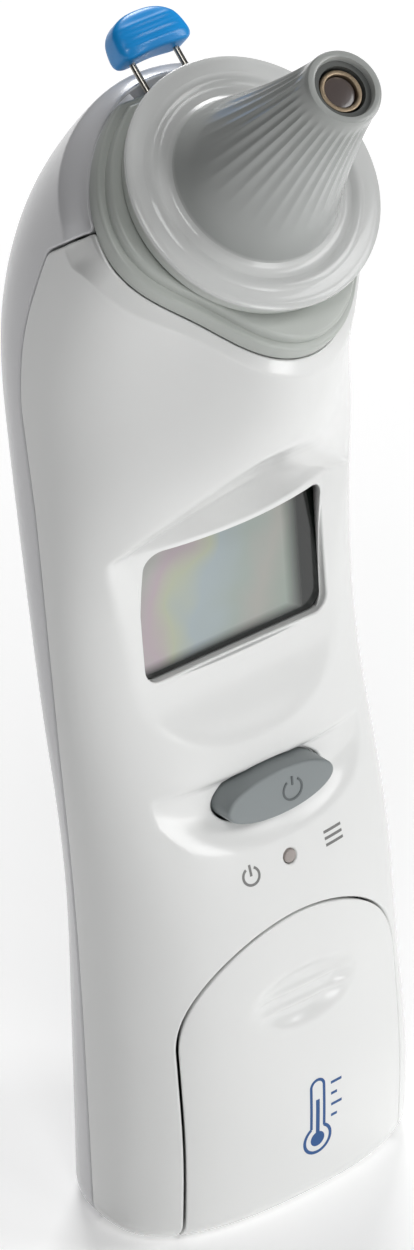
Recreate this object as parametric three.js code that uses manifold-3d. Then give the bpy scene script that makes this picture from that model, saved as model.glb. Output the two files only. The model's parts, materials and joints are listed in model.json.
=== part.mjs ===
// An infrared ear thermometer: a two-shell handle with a display, a power button and a sliding battery
// door, and a probe at 45 degrees with a disposable cover, a wire-mounted ejector and an infrared sensor.
// Millimetres, +Z up, the front of the handle towards -Y, the base on Z = 0.
import * as THREE from "three";
import { ParametricGeometry } from "three/addons/geometries/ParametricGeometry.js";
import { mergeVertices } from "three/addons/utils/BufferGeometryUtils.js";
import Module from "manifold-3d";

const wasm = await Module();
wasm.setup();

// ---- Driving dimensions ----

const GAP = 0.3; // between neighbouring pieces
const WALL = 1.8; // thickness of the case

// Sections of the case from the base to the root of the probe. Each one spans from a front point to a back
// point, both (y, z) on the middle plane. halfWidth is along X, widest is the share of the depth from the
// front to the widest line, power is the exponent of the superellipse, and pinch is how far the front is
// drawn in between its middle and its sides.
const SECTIONS = [
  { front: [-14.2, 0], back: [15.8, 0], halfWidth: 22.9, widest: 0.4, power: 2.4, pinch: 0 },
  { front: [-16.2, 15], back: [15.3, 15], halfWidth: 22.6, widest: 0.4, power: 2.4, pinch: 0 },
  { front: [-16.9, 30], back: [13.9, 30], halfWidth: 22.1, widest: 0.45, power: 2.4, pinch: 0 },
  { front: [-16.9, 45], back: [12.4, 45], halfWidth: 21.9, widest: 0.48, power: 2.4, pinch: 0 },
  { front: [-14.2, 58], back: [12.5, 58], halfWidth: 21.9, widest: 0.42, power: 2.4, pinch: 0 },
  { front: [-10.2, 71], back: [13.5, 71], halfWidth: 22, widest: 0.3, power: 2.4, pinch: 0 },
  { front: [-7.8, 84], back: [14.9, 84], halfWidth: 22.1, widest: 0.24, power: 2.4, pinch: 0 },
  { front: [-8.4, 97], back: [16.9, 98.6], halfWidth: 22, widest: 0.3, power: 2.4, pinch: 0 },
  { front: [-15, 107.3], back: [19.3, 112], halfWidth: 21.7, widest: 0.45, power: 2.3, pinch: 0.05 },
  { front: [-21.4, 113.2], back: [19.4, 126], halfWidth: 21.5, widest: 0.5, power: 2.2, pinch: 0.085 },
  { front: [-24.4, 117], back: [15.2, 139.4], halfWidth: 21.3, widest: 0.5, power: 2.1, pinch: 0.12 },
  { front: [-26.2, 120.8], back: [9.8, 147.5], halfWidth: 21.1, widest: 0.51, power: 2, pinch: 0.14 },
  { front: [-27.8, 125.8], back: [1.8, 155.5], halfWidth: 20.8, widest: 0.52, power: 2, pinch: 0.155 },
];
const SECTION_SIDES = 40;
const LOFT_ROWS = 24;
const BASE_ROUND = 3; // radius of the rounded edge of the base

// The seam between the two shells, seen from the side as (y, z). The front shell lies on the -Y side.
const SEAM = [[1.2, -5], [1.2, 96], [3.6, 113], [4, 118], [2.6, 127], [-2.8, 139], [-12.3, 144.9], [-40, 162]];

// The centre of the cover's flange; the probe's axis points up and forward.
const PROBE = { centre: [0, -17.8, 146.4], tilt: Math.PI / 4 };
const HEAD_FACE = -7.5; // where the case ends, along the probe axis
const DISPLAY = { z: 88, halfWidth: 14.2, halfHeight: 9.1, corner: 2.6 };
const WINDOW = { front: -6.9, back: -5.9 }; // the clear window over the display
const PANEL = { front: -4, back: -2.2 }; // the liquid crystal panel
const DOOR = { halfWidth: 17.7, shoulder: 29, top: 44.8, back: -9 };
const FINGER_RECESS = { z: 32.6, y: -17, halfWidth: 8.6, halfHeight: 4.4, depth: 1.2 };
const BUTTON = {
  z: 61, halfWidth: 8.4, halfHeight: 3.2, front: -14.3, lip: 1.4, lipFront: -9.1, lipBack: -8.1,
  stem: 1.5, stemBack: -5.6,
};
const SCOOP = { z: 59.8, y: -14.1, halfWidth: 16.3, halfHeight: 5, depth: 1.2, lean: 0.24 };
const LENS = { z: 52.1, radius: 0.9 };
const FLANGE_RADIUS = 16.5;
const CONE = { baseRadius: 11.1, tipRadius: 4.75, length: 26.9, power: 1.35, wall: 0.5 };
const COLLAR = {
  radius: 18.4, chin: 20.4, pinch: 0.12, topPinch: 0.03, top: 16.3, back: -7.2, step: -5, front: -3.4,
  plateauInset: 1, bore: 10.9, spigot: 15.6, spigotBore: 13.4, spigotBack: -11,
};
const RING = { radius: 15.8, bore: 11.9, back: -3.1, front: -0.9 };
const WIRE = { x: 3.3, radius: 0.4, z: -5.3, low: 13.4, high: 22.5 };
const CAP = { halfWidth: 5.7, low: 19.6, high: 26, back: -7.2, front: -2.2 };
const RIDGE = { radius: 13.9, halfWidth: 0.7, top: 1.4 }; // the raised ring on the cover's flange
const TUBE = { outer: 2.7, inner: 2.1, back: -6.9, front: 25.7 };
const BOARD = { halfWidth: 16.5, low: 49, high: 106.5, front: -0.5, back: 1.1 };
const CELL = { radius: 10, front: -12, back: -8.8, z: 24 };
const TRAY = { halfWidth: 16, low: 3.5, high: 42, front: -7.9, back: -5.9 };
const SCREW = { head: 2, shank: 1, clearance: 1.4, boss: 2.8, thread: 1.35 }; // radii
const BOARD_SCREWS = [[-13.5, 56], [13.5, 56], [-13.5, 103.5], [13.5, 103.5]];
const CASE_SCREWS = [[-12, 8], [12, 8]];

// ---- Materials ----

const plastic = (color, roughness = 0.4) => new THREE.MeshStandardMaterial({ color, roughness, metalness: 0 });
const metal = (color, roughness = 0.3) => new THREE.MeshStandardMaterial({ color, roughness, metalness: 1 });
const white = plastic(0xe8e9ea, 0.25);
const coolWhite = plastic(0xdedfe4, 0.3);
const grey = plastic(0x9da29c, 0.45);
const darkGrey = plastic(0x7c8486, 0.45);
const cloudy = new THREE.MeshStandardMaterial({
  color: 0xc6cac8, roughness: 0.3, transparent: true, opacity: 0.7,
});
const blue = plastic(0x0a6fbe, 0.4);
const black = plastic(0x202224, 0.5);
const boardGreen = plastic(0x1f6a3c, 0.5);
const glass = plastic(0x9aa8a2, 0.1);
const steel = metal(0xb8babc);
const brass = metal(0xb89a6a);

// ---- Solids ----

// A manifold solid from a closed three.js geometry. Triangles that collapse at a pole are dropped, and a
// surface that faces inwards is turned round.
function solid(geometry) {
  const bare = new THREE.BufferGeometry().setAttribute("position", geometry.getAttribute("position"));
  if (geometry.index) bare.setIndex(geometry.index);
  const merged = mergeVertices(bare, 1e-4);
  const corners = merged.index.array;
  const kept = [];
  for (let i = 0; i < corners.length; i += 3) {
    const [a, b, c] = corners.slice(i, i + 3);
    if (a !== b && b !== c && c !== a) kept.push([a, b, c]);
  }
  const vertProperties = new Float32Array(merged.attributes.position.array);
  if (signedVolume(vertProperties, kept) < 0) kept.forEach((corner) => corner.reverse());
  return new wasm.Manifold(
    new wasm.Mesh({ numProp: 3, vertProperties, triVerts: new Uint32Array(kept.flat()) }),
  );
}

function signedVolume(positions, triangles) {
  const corner = (i) => new THREE.Vector3(positions[3 * i], positions[3 * i + 1], positions[3 * i + 2]);
  const volumes = triangles.map(([a, b, c]) => corner(a).dot(corner(b).cross(corner(c))) / 6);
  return volumes.reduce((sum, one) => sum + one, 0);
}

function geometryOf(made) {
  const { vertProperties, triVerts } = made.getMesh();
  const geometry = new THREE.BufferGeometry();
  geometry.setAttribute("position", new THREE.BufferAttribute(new Float32Array(vertProperties), 3));
  geometry.setIndex(new THREE.BufferAttribute(new Uint32Array(triVerts), 1));
  geometry.computeVertexNormals();
  return geometry;
}

// A box between two corners.
function box([x0, y0, z0], [x1, y1, z1]) {
  const geometry = new THREE.BoxGeometry(x1 - x0, y1 - y0, z1 - z0);
  return solid(geometry.translate((x0 + x1) / 2, (y0 + y1) / 2, (z0 + z1) / 2));
}

// A cylinder along Z.
function post(radius, low, high, [x, y] = [0, 0], sides = 24) {
  const geometry = new THREE.CylinderGeometry(radius, radius, high - low, sides);
  return solid(geometry.rotateX(Math.PI / 2).translate(x, y, (low + high) / 2));
}

// A cylinder along Y, with its middle at (x, z).
function peg(radius, front, back, [x, z], sides = 24) {
  const geometry = new THREE.CylinderGeometry(radius, radius, back - front, sides);
  return solid(geometry.translate(x, (front + back) / 2, z));
}

// A shape drawn in (x, z), made solid from y = front to y = back.
function slab(shape, front, back, curveSegments = 8) {
  const depth = back - front;
  const geometry = new THREE.ExtrudeGeometry(shape, { depth, bevelEnabled: false, curveSegments });
  return solid(geometry.rotateX(Math.PI / 2).translate(0, back, 0));
}

// A ring or a shaft turned about Z from a closed (radius, z) profile.
function turned(profile, sides = 48) {
  const points = [...profile, profile[0]].map(([r, z]) => new THREE.Vector2(r, z));
  return solid(new THREE.LatheGeometry(points, sides).rotateX(Math.PI / 2));
}

function roundedRectangle(halfWidth, halfHeight, corner, z) {
  const shape = new THREE.Shape();
  const [w, h, r] = [halfWidth, halfHeight, corner];
  shape.moveTo(-w + r, z - h);
  shape.absarc(w - r, z - h + r, r, -Math.PI / 2, 0);
  shape.absarc(w - r, z + h - r, r, 0, Math.PI / 2);
  shape.absarc(-w + r, z + h - r, r, Math.PI / 2, Math.PI);
  shape.absarc(-w + r, z - h + r, r, Math.PI, Math.PI * 1.5);
  return shape;
}

function oval(halfWidth, halfHeight, z) {
  return new THREE.Shape().absellipse(0, z, halfWidth, halfHeight, 0, Math.PI * 2);
}

function ellipsoid(radii, [x, y, z], lean = 0) {
  const geometry = new THREE.SphereGeometry(1, 32, 16).scale(...radii);
  return solid(geometry.rotateX(lean).translate(x, y, z));
}

// ---- The case ----

function curveOf(pick) {
  const points = SECTIONS.map((section) => new THREE.Vector3(...pick(section)));
  return new THREE.CatmullRomCurve3(points, false, "centripetal");
}

const frontCurve = curveOf(({ front }) => [0, ...front]);
const backCurve = curveOf(({ back }) => [0, ...back]);

// The value of one number of the sections at t, with t from 0 at the base to 1 at the probe.
function along(name, t) {
  const place = t * (SECTIONS.length - 1);
  const low = Math.min(Math.floor(place), SECTIONS.length - 2);
  return THREE.MathUtils.lerp(SECTIONS[low][name], SECTIONS[low + 1][name], place - low);
}

// The factor that draws an outline in by a share between its axes.
const drawnIn = (share, angle) => 1 - share * Math.sin(2 * angle) ** 2;

// A point of the case at t, at an angle around the section, moved inwards by inset.
function casePoint(t, angle, inset, target) {
  const front = frontCurve.getPoint(t);
  const across = backCurve.getPoint(t).sub(front);
  const depth = across.length();
  const widest = along("widest", t) * depth;
  const reach = Math.sin(angle) < 0 ? widest - inset : depth - widest - inset;
  const halfWidth = along("halfWidth", t) - inset;
  const power = along("power", t);
  const share = Math.abs(Math.cos(angle) / halfWidth) ** power + Math.abs(Math.sin(angle) / reach) ** power;
  const radius = share ** (-1 / power) * drawnIn(Math.sin(angle) < 0 ? along("pinch", t) : 0, angle);
  target.copy(front).addScaledVector(across.normalize(), widest + radius * Math.sin(angle));
  target.x = radius * Math.cos(angle);
}

// The t of a height below the second section.
const placeOf = (height) => height / SECTIONS[1].front[1] / (SECTIONS.length - 1);

// The case as a closed solid, moved inwards by inset, from the base to the face of the head.
function caseLoft(inset, rows, sides) {
  const centre = new THREE.Vector3();
  const opposite = new THREE.Vector3();
  const roundRows = 3;
  const low = placeOf(inset);
  const point = (u, v, target) => {
    const row = Math.round(v * (rows + roundRows + 2));
    const angle = u * Math.PI * 2;
    if (row === 0 || row === rows + roundRows + 2) {
      const t = row === 0 ? low : 1;
      casePoint(t, -Math.PI / 2, inset, centre);
      casePoint(t, Math.PI / 2, inset, opposite);
      target.copy(centre.add(opposite).multiplyScalar(0.5));
    } else {
      const turn = Math.min((row - 1) / roundRows, 1) * (Math.PI / 2);
      const rise = BASE_ROUND * (1 - Math.cos(turn));
      const start = low + placeOf(rise);
      const t = row <= roundRows ? start : start + (1 - start) * ((row - 1 - roundRows) / rows);
      casePoint(t, angle, inset + BASE_ROUND * (1 - Math.sin(turn)), target);
    }
    if (inset > 0) target.add(headShift(row / (rows + roundRows + 2), inset));
  };
  return solid(new ParametricGeometry(point, sides, rows + roundRows + 2));
}

// The inner loft draws back from the face of the head by the wall.
function headShift(v, inset) {
  const share = THREE.MathUtils.smoothstep(v, 0.8, 1);
  return probeDirection().multiplyScalar(-inset * share);
}

function probeDirection() {
  return new THREE.Vector3(0, -Math.sin(PROBE.tilt), Math.cos(PROBE.tilt));
}

// Moves a solid from the probe's own frame, with Z along its axis, to the object's frame.
function fromProbe(made) {
  return made.rotate([THREE.MathUtils.radToDeg(PROBE.tilt), 0, 0]).translate(PROBE.centre);
}

// Everything in front of the seam, moved back by a clearance.
function frontOfSeam(clearance) {
  const shape = new THREE.Shape();
  const moved = SEAM.map(([y, z]) => [y + clearance * 0.8, z + clearance * 0.6]);
  shape.moveTo(-60, moved[0][1]);
  moved.forEach(([y, z]) => shape.lineTo(y, z));
  shape.lineTo(-60, moved.at(-1)[1]);
  const geometry = new THREE.ExtrudeGeometry(shape, { depth: 80, bevelEnabled: false });
  // The shape's x becomes Y, its y becomes Z, and the extrusion runs along X.
  geometry.applyMatrix4(new THREE.Matrix4().makeBasis(
    new THREE.Vector3(0, 1, 0), new THREE.Vector3(0, 0, 1), new THREE.Vector3(1, 0, 0)));
  return solid(geometry.translate(-40, 0, 0));
}

function doorShape(clearance) {
  const w = DOOR.halfWidth - clearance;
  const shape = new THREE.Shape();
  shape.moveTo(-w, -5);
  shape.lineTo(w, -5);
  shape.lineTo(w, DOOR.shoulder);
  shape.absellipse(0, DOOR.shoulder, w, DOOR.top - clearance - DOOR.shoulder, 0, Math.PI);
  return shape;
}

const outer = caseLoft(0, LOFT_ROWS, SECTION_SIDES);
const inner = caseLoft(WALL, 18, 32);
const collarOpening = fromProbe(post(COLLAR.spigot + GAP, COLLAR.spigotBack - 3, COLLAR.step, [0, 0], 40));
const hollowCase = outer.subtract(inner).subtract(collarOpening);

const displayOpening = slab(
  roundedRectangle(DISPLAY.halfWidth, DISPLAY.halfHeight, DISPLAY.corner, DISPLAY.z), -20, -3);
const buttonOpening = slab(oval(BUTTON.halfWidth + GAP, BUTTON.halfHeight + GAP, BUTTON.z), -20, -6);
const lensOpening = peg(LENS.radius + GAP, -20, -10, [0, LENS.z], 16);
const scoopCut = ellipsoid(
  [SCOOP.halfWidth, SCOOP.depth, SCOOP.halfHeight], [0, SCOOP.y, SCOOP.z], -SCOOP.lean);

function frontShell() {
  return hollowCase
    .intersect(frontOfSeam(0))
    .subtract(displayOpening)
    .subtract(buttonOpening)
    .subtract(lensOpening)
    .subtract(scoopCut)
    .subtract(slab(doorShape(0), -30, DOOR.back));
}

// A post from the rear wall towards the front, with a blind hole for a screw.
function boss([x, z], front, back) {
  const thread = peg(SCREW.thread, front - 1, front + 7, [x, z], 12);
  return peg(SCREW.boss, front, back, [x, z], 16).subtract(thread);
}

function rearShell() {
  const bosses = [
    ...BOARD_SCREWS.map((place) => boss(place, BOARD.back + GAP, 30)),
    ...CASE_SCREWS.map((place) => boss(place, TRAY.back + GAP, 30)),
  ].reduce((sum, one) => sum.add(one));
  return hollowCase.subtract(frontOfSeam(GAP + 0.06)).add(bosses.intersect(outer));
}

function batteryDoor() {
  const { halfWidth, depth, halfHeight, y, z } = FINGER_RECESS;
  const recess = ellipsoid([halfWidth, depth, halfHeight], [0, y, z]);
  return hollowCase.intersect(slab(doorShape(GAP), -30, DOOR.back - GAP)).subtract(recess);
}

// ---- Front controls ----

function powerButton() {
  const middle = (BUTTON.lipFront + BUTTON.lipBack) / 2;
  const outline = (grow) => oval(BUTTON.halfWidth + grow, BUTTON.halfHeight + grow, BUTTON.z);
  const face = slab(outline(0), BUTTON.front, middle);
  const lip = slab(outline(BUTTON.lip), BUTTON.lipFront, BUTTON.lipBack);
  return face.add(lip).add(peg(BUTTON.stem, middle, BUTTON.stemBack, [0, BUTTON.z], 16));
}

const switchPlunger = () => peg(1.6, -5.3, -3.6, [0, BUTTON.z], 16);

function tactSwitch() {
  const body = box([-3, -4.3, BUTTON.z - 3], [3, BOARD.front - GAP, BUTTON.z + 3]);
  return body.subtract(peg(1.9, -6, -2.4, [0, BUTTON.z], 16));
}

// ---- Display ----

const displayRect = (grow, corner) =>
  roundedRectangle(DISPLAY.halfWidth + grow, DISPLAY.halfHeight + grow, corner, DISPLAY.z);
const displayWindow = () => slab(displayRect(-GAP, DISPLAY.corner - GAP), WINDOW.front, WINDOW.back);
const displayPanel = () => slab(displayRect(0.8, 0.4), PANEL.front, PANEL.back, 2);
const displayConnector = () => box([-13, -1.9, 79], [13, BOARD.front - GAP, 81]);

function displayFrame() {
  return slab(displayRect(2, 2), -3.5, BOARD.front - GAP, 3).subtract(slab(displayRect(1.1, 0.5), -6, 1, 2));
}

// ---- Board ----

function mainBoard() {
  const plate = box([-BOARD.halfWidth, BOARD.front, BOARD.low], [BOARD.halfWidth, BOARD.back, BOARD.high]);
  return BOARD_SCREWS.reduce((left, place) => left.subtract(peg(SCREW.clearance, -3, 3, place, 12)), plate);
}

const backOfBoard = BOARD.back + GAP;
const controllerChip = () => box([-3.5, backOfBoard, 70], [3.5, backOfBoard + 1.2, 77]);
const memoryChip = () => box([-2.5, backOfBoard, 62], [2.5, backOfBoard + 1.2, 66]);
const buzzer = () => peg(7, backOfBoard, backOfBoard + 3, [0, 90], 28);
const indicatorLed = () => box([-0.8, -1.8, LENS.z - 0.6], [0.8, BOARD.front - GAP, LENS.z + 0.6]);
const indicatorLens = () => peg(LENS.radius, -15.9, -2.2, [0, LENS.z], 16);

function screw([x, z], headFront, headBack, tip) {
  const head = peg(SCREW.head, headFront, headBack, [x, z], 14);
  return head.add(peg(SCREW.shank, headBack - 0.1, tip, [x, z], 10));
}

// A flat strip across X that follows a line of (y, z) points.
function sensorFlex() {
  const route = [[1.6, 100], [1.6, 106], [1.4, 112], [-1.5, 121], [-6.5, 127.5], [-9.4, 132.1], [-7.6, 135]];
  const curve = new THREE.SplineCurve(route.map(([y, z]) => new THREE.Vector2(y, z)));
  const half = 0.15;
  const edge = (side) => curve.getPoints(20).map((point, i) => {
    const slope = curve.getTangent(i / 20);
    return new THREE.Vector2(point.x - side * half * slope.y, point.y + side * half * slope.x);
  });
  const shape = new THREE.Shape([...edge(-1), ...edge(1).reverse()]);
  const geometry = new THREE.ExtrudeGeometry(shape, { depth: 8, bevelEnabled: false });
  geometry.applyMatrix4(new THREE.Matrix4().makeBasis(
    new THREE.Vector3(0, 1, 0), new THREE.Vector3(0, 0, 1), new THREE.Vector3(1, 0, 0)));
  return solid(geometry.translate(-4, 0, 0));
}

// ---- Battery ----

function batteryTray() {
  const plate = box([-TRAY.halfWidth, TRAY.front, TRAY.low], [TRAY.halfWidth, TRAY.back, TRAY.high]);
  const rim = peg(CELL.radius + 2, CELL.front, TRAY.front + 0.5, [0, CELL.z], 36);
  const pocket = peg(CELL.radius + GAP, CELL.front - 1, TRAY.front, [0, CELL.z], 36);
  const notch = box([-4, CELL.front - 1, CELL.z + 8], [4, TRAY.front, CELL.z + 16]);
  const bare = plate.add(rim).subtract(pocket).subtract(notch);
  return CASE_SCREWS.reduce((left, place) => left.subtract(peg(SCREW.clearance, -12, -2, place, 12)), bare);
}

const coinCell = () => peg(CELL.radius, CELL.front, CELL.back, [0, CELL.z], 40);
const negativeContact = () => peg(6, -8.5, -8.2, [0, CELL.z], 20);

function positiveContact() {
  const blade = box([-3, CELL.front, CELL.z + 10.3], [3, -8.2, CELL.z + 10.7]);
  return blade.add(box([-3, -8.6, CELL.z + 10.3], [3, -8.2, CELL.z + 14]));
}

// ---- Probe, in its own frame: Z along the axis, Y up and back ----

const coneRadius = (z) =>
  CONE.tipRadius + (CONE.baseRadius - CONE.tipRadius) * (1 - z / CONE.length) ** CONE.power;
const coneSteps = [0, 0.12, 0.3, 0.5, 0.75, 1];

// Points of the cone from its base to a height, moved inwards by inset.
const coneSide = (low, high, inset) =>
  coneSteps.map((share) => low + share * (high - low)).map((z) => [coneRadius(z) - inset, z]);

function probeCover() {
  const { wall, length, tipRadius } = CONE;
  return turned([
    [CONE.baseRadius - wall, -0.6],
    ...coneSide(0.4, length - 0.6, wall),
    [tipRadius - 1.05, length - 0.6],
    [tipRadius - 1.05, length],
    ...coneSide(0.6, length, 0).reverse(),
    [RIDGE.radius - RIDGE.halfWidth, 0.6],
    [RIDGE.radius, RIDGE.top],
    [RIDGE.radius + RIDGE.halfWidth, 0.6],
    [FLANGE_RADIUS, 0.3],
    [FLANGE_RADIUS, -0.6],
  ]);
}

function probeNozzle() {
  const inset = CONE.wall + GAP;
  return turned([
    [TUBE.outer + GAP, 26],
    [TUBE.outer + GAP, -4],
    [8.4, -4],
    [8.4, -10],
    [13, -10],
    [13, -8.8],
    [10.6, -8.8],
    [10.3, -0.4],
    ...coneSide(0.4, 26, inset),
  ], 36);
}

// The collar's outline round the probe axis: an egg with its narrow end at the chin.
function collarShape(inset) {
  const shape = new THREE.Shape();
  const sides = 56;
  for (let i = 0; i < sides; i++) {
    const angle = (i / sides) * Math.PI * 2;
    const long = Math.sin(angle) < 0 ? COLLAR.chin : COLLAR.radius;
    const plain = 1 / Math.hypot(Math.cos(angle) / COLLAR.radius, Math.sin(angle) / long);
    const radius = plain * drawnIn(Math.sin(angle) < 0 ? COLLAR.pinch : COLLAR.topPinch, angle) - inset;
    const [x, y] = [radius * Math.cos(angle), radius * Math.sin(angle)];
    if (i === 0) shape.moveTo(x, y);
    else shape.lineTo(x, y);
  }
  return shape;
}

function probeCollar() {
  const disc = (inset, low, high) => {
    const geometry = new THREE.ExtrudeGeometry(collarShape(inset), { depth: high - low, bevelEnabled: false });
    return solid(geometry.translate(0, 0, low));
  };
  const topCut = box([-30, COLLAR.top, -20], [30, 40, 20]);
  const spigot = post(COLLAR.spigot, COLLAR.spigotBack, COLLAR.back + 0.1, [0, 0], 40)
    .subtract(post(COLLAR.spigotBore, COLLAR.spigotBack - 1, COLLAR.back, [0, 0], 40));
  const slot = (side) => box(
    [side * WIRE.x - 0.75, WIRE.low - 1.2, WIRE.z - 0.8], [side * WIRE.x + 0.75, 30, 5]);
  return disc(0, COLLAR.back, COLLAR.step)
    .add(disc(COLLAR.plateauInset, COLLAR.step - 0.1, COLLAR.front))
    .subtract(topCut)
    .add(spigot)
    .subtract(post(COLLAR.bore, -20, 20, [0, 0], 40))
    .subtract(slot(-1))
    .subtract(slot(1));
}

const ejectorRing = () => turned([
  [RING.bore, RING.back], [RING.radius, RING.back], [RING.radius, RING.front], [RING.bore, RING.front]]);

// One leg of the ejector: down from the cap behind the ring, then forward to the ring's back.
function ejectorWire(side) {
  const bend = new THREE.CatmullRomCurve3([
    new THREE.Vector3(0, WIRE.high, WIRE.z),
    new THREE.Vector3(0, WIRE.low + 1.4, WIRE.z),
    new THREE.Vector3(0, WIRE.low + 0.4, WIRE.z + 0.3),
    new THREE.Vector3(0, WIRE.low, RING.back - GAP),
  ], false, "centripetal");
  const section = new THREE.Shape().absarc(0, 0, WIRE.radius, 0, Math.PI * 2);
  const geometry = new THREE.ExtrudeGeometry(section, { steps: 14, extrudePath: bend, curveSegments: 5 });
  return solid(geometry.translate(side * WIRE.x, 0, 0));
}

function ejectorCap() {
  const shape = new THREE.Shape();
  const { halfWidth: w, low, high } = CAP;
  shape.moveTo(-w + 1.6, low);
  shape.quadraticCurveTo(0, low + 1.2, w - 1.6, low);
  shape.quadraticCurveTo(w, low + 0.4, w, low + 2);
  shape.quadraticCurveTo(w - 0.6, high, w - 3, high);
  shape.lineTo(-w + 3, high);
  shape.quadraticCurveTo(-w + 0.6, high, -w, low + 2);
  shape.quadraticCurveTo(-w, low + 0.4, -w + 1.6, low);
  const block = solid(new THREE.ExtrudeGeometry(shape, {
    depth: CAP.front - CAP.back - 1.2, curveSegments: 6,
    bevelThickness: 0.6, bevelSize: 0.6, bevelOffset: -0.6, bevelSegments: 2,
  }).translate(0, 0, CAP.back + 0.6));
  const socket = (side) => solid(new THREE.CylinderGeometry(0.7, 0.7, 6, 12)
    .translate(side * WIRE.x, WIRE.high + GAP - 3, WIRE.z));
  return block.subtract(socket(-1)).subtract(socket(1));
}

const waveguideTube = () => turned([
  [TUBE.inner, TUBE.back], [TUBE.outer, TUBE.back], [TUBE.outer, TUBE.front], [TUBE.inner, TUBE.front]], 28);
const probeWindow = () => post(TUBE.inner - GAP / 2, TUBE.front - 1, TUBE.front - 0.5, [0, 0], 24);

function sensorHolder() {
  return turned([
    [TUBE.outer + GAP, -4.4], [TUBE.outer + GAP, -7.2], [5, -7.2], [5, -12.3], [8.1, -12.3], [8.1, -4.4]], 32);
}

function thermopileSensor() {
  return post(4.6, -11.6, -7.5, [0, 0], 28).add(post(3.9, -7.55, -7.3, [0, 0], 28));
}

const sensorBoard = () => post(8, -14, -12.6, [0, 0], 28);

// ---- Assembly ----

const thermometer = new THREE.Group();
const probe = new THREE.Group();
probe.position.set(...PROBE.centre);
probe.rotation.x = PROBE.tilt;
thermometer.add(probe);

function place(parent, name, made, material) {
  const mesh = new THREE.Mesh(geometryOf(made), material);
  mesh.name = name;
  parent.add(mesh);
}

place(thermometer, "front_shell", frontShell(), white);
place(thermometer, "rear_shell", rearShell(), coolWhite);
place(thermometer, "battery_door", batteryDoor(), white);
place(thermometer, "power_button", powerButton(), darkGrey);
place(thermometer, "switch_plunger", switchPlunger(), black);
place(thermometer, "tact_switch", tactSwitch(), black);
place(thermometer, "display_window", displayWindow(), glass);
place(thermometer, "display_panel", displayPanel(), glass);
place(thermometer, "display_frame", displayFrame(), white);
place(thermometer, "display_connector", displayConnector(), black);
place(thermometer, "main_board", mainBoard(), boardGreen);
place(thermometer, "controller_chip", controllerChip(), black);
place(thermometer, "memory_chip", memoryChip(), black);
place(thermometer, "buzzer", buzzer(), black);
place(thermometer, "indicator_led", indicatorLed(), cloudy);
place(thermometer, "indicator_lens", indicatorLens(), grey);
place(thermometer, "sensor_flex", sensorFlex(), brass);
BOARD_SCREWS.forEach((at, i) => place(thermometer, `board_screw_${i + 1}`, screw(at, -1.9, -0.8, 7), steel));
CASE_SCREWS.forEach((at, i) => place(thermometer, `case_screw_${i + 1}`, screw(at, -9.4, -8.2, 0.5), steel));
place(thermometer, "battery_tray", batteryTray(), black);
place(thermometer, "coin_cell", coinCell(), steel);
place(thermometer, "negative_contact", negativeContact(), steel);
place(thermometer, "positive_contact", positiveContact(), steel);
place(probe, "probe_cover", probeCover(), cloudy);
place(probe, "probe_nozzle", probeNozzle(), darkGrey);
place(probe, "probe_collar", probeCollar(), grey);
place(probe, "ejector_ring", ejectorRing(), grey);
place(probe, "ejector_wire_left", ejectorWire(-1), steel);
place(probe, "ejector_wire_right", ejectorWire(1), steel);
place(probe, "ejector_cap", ejectorCap(), blue);
place(probe, "waveguide_tube", waveguideTube(), brass);
place(probe, "probe_window", probeWindow(), black);
place(probe, "sensor_holder", sensorHolder(), black);
place(probe, "thermopile_sensor", thermopileSensor(), steel);
place(probe, "sensor_board", sensorBoard(), boardGreen);

export default thermometer;
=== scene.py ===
"""Looks for an infrared ear thermometer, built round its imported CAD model. Shapes are worked out in
millimetres in the object's own frame, +Z up and the front towards -Y, and become metres in make()."""
import json
import math

import bpy
import numpy as np
from mathutils import Matrix, Vector
from mathutils.bvhtree import BVHTree


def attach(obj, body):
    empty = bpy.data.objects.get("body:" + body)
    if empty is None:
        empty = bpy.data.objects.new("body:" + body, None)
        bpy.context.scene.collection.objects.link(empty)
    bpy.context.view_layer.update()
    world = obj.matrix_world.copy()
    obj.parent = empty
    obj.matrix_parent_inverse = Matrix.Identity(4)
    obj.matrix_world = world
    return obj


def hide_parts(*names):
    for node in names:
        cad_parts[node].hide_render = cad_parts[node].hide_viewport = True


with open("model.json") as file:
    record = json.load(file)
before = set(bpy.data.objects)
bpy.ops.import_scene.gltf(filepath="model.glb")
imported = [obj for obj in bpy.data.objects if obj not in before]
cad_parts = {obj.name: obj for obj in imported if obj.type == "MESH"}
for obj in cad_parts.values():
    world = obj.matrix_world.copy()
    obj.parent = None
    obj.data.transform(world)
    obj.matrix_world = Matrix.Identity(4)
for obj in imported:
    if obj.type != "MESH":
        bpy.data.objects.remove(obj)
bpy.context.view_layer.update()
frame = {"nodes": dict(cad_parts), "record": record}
MM = 0.001

# ---- Driving dimensions, in millimetres ----

GAP = 0.3
WALL = 1.8
BASE_ROUND = 3.0

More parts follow.
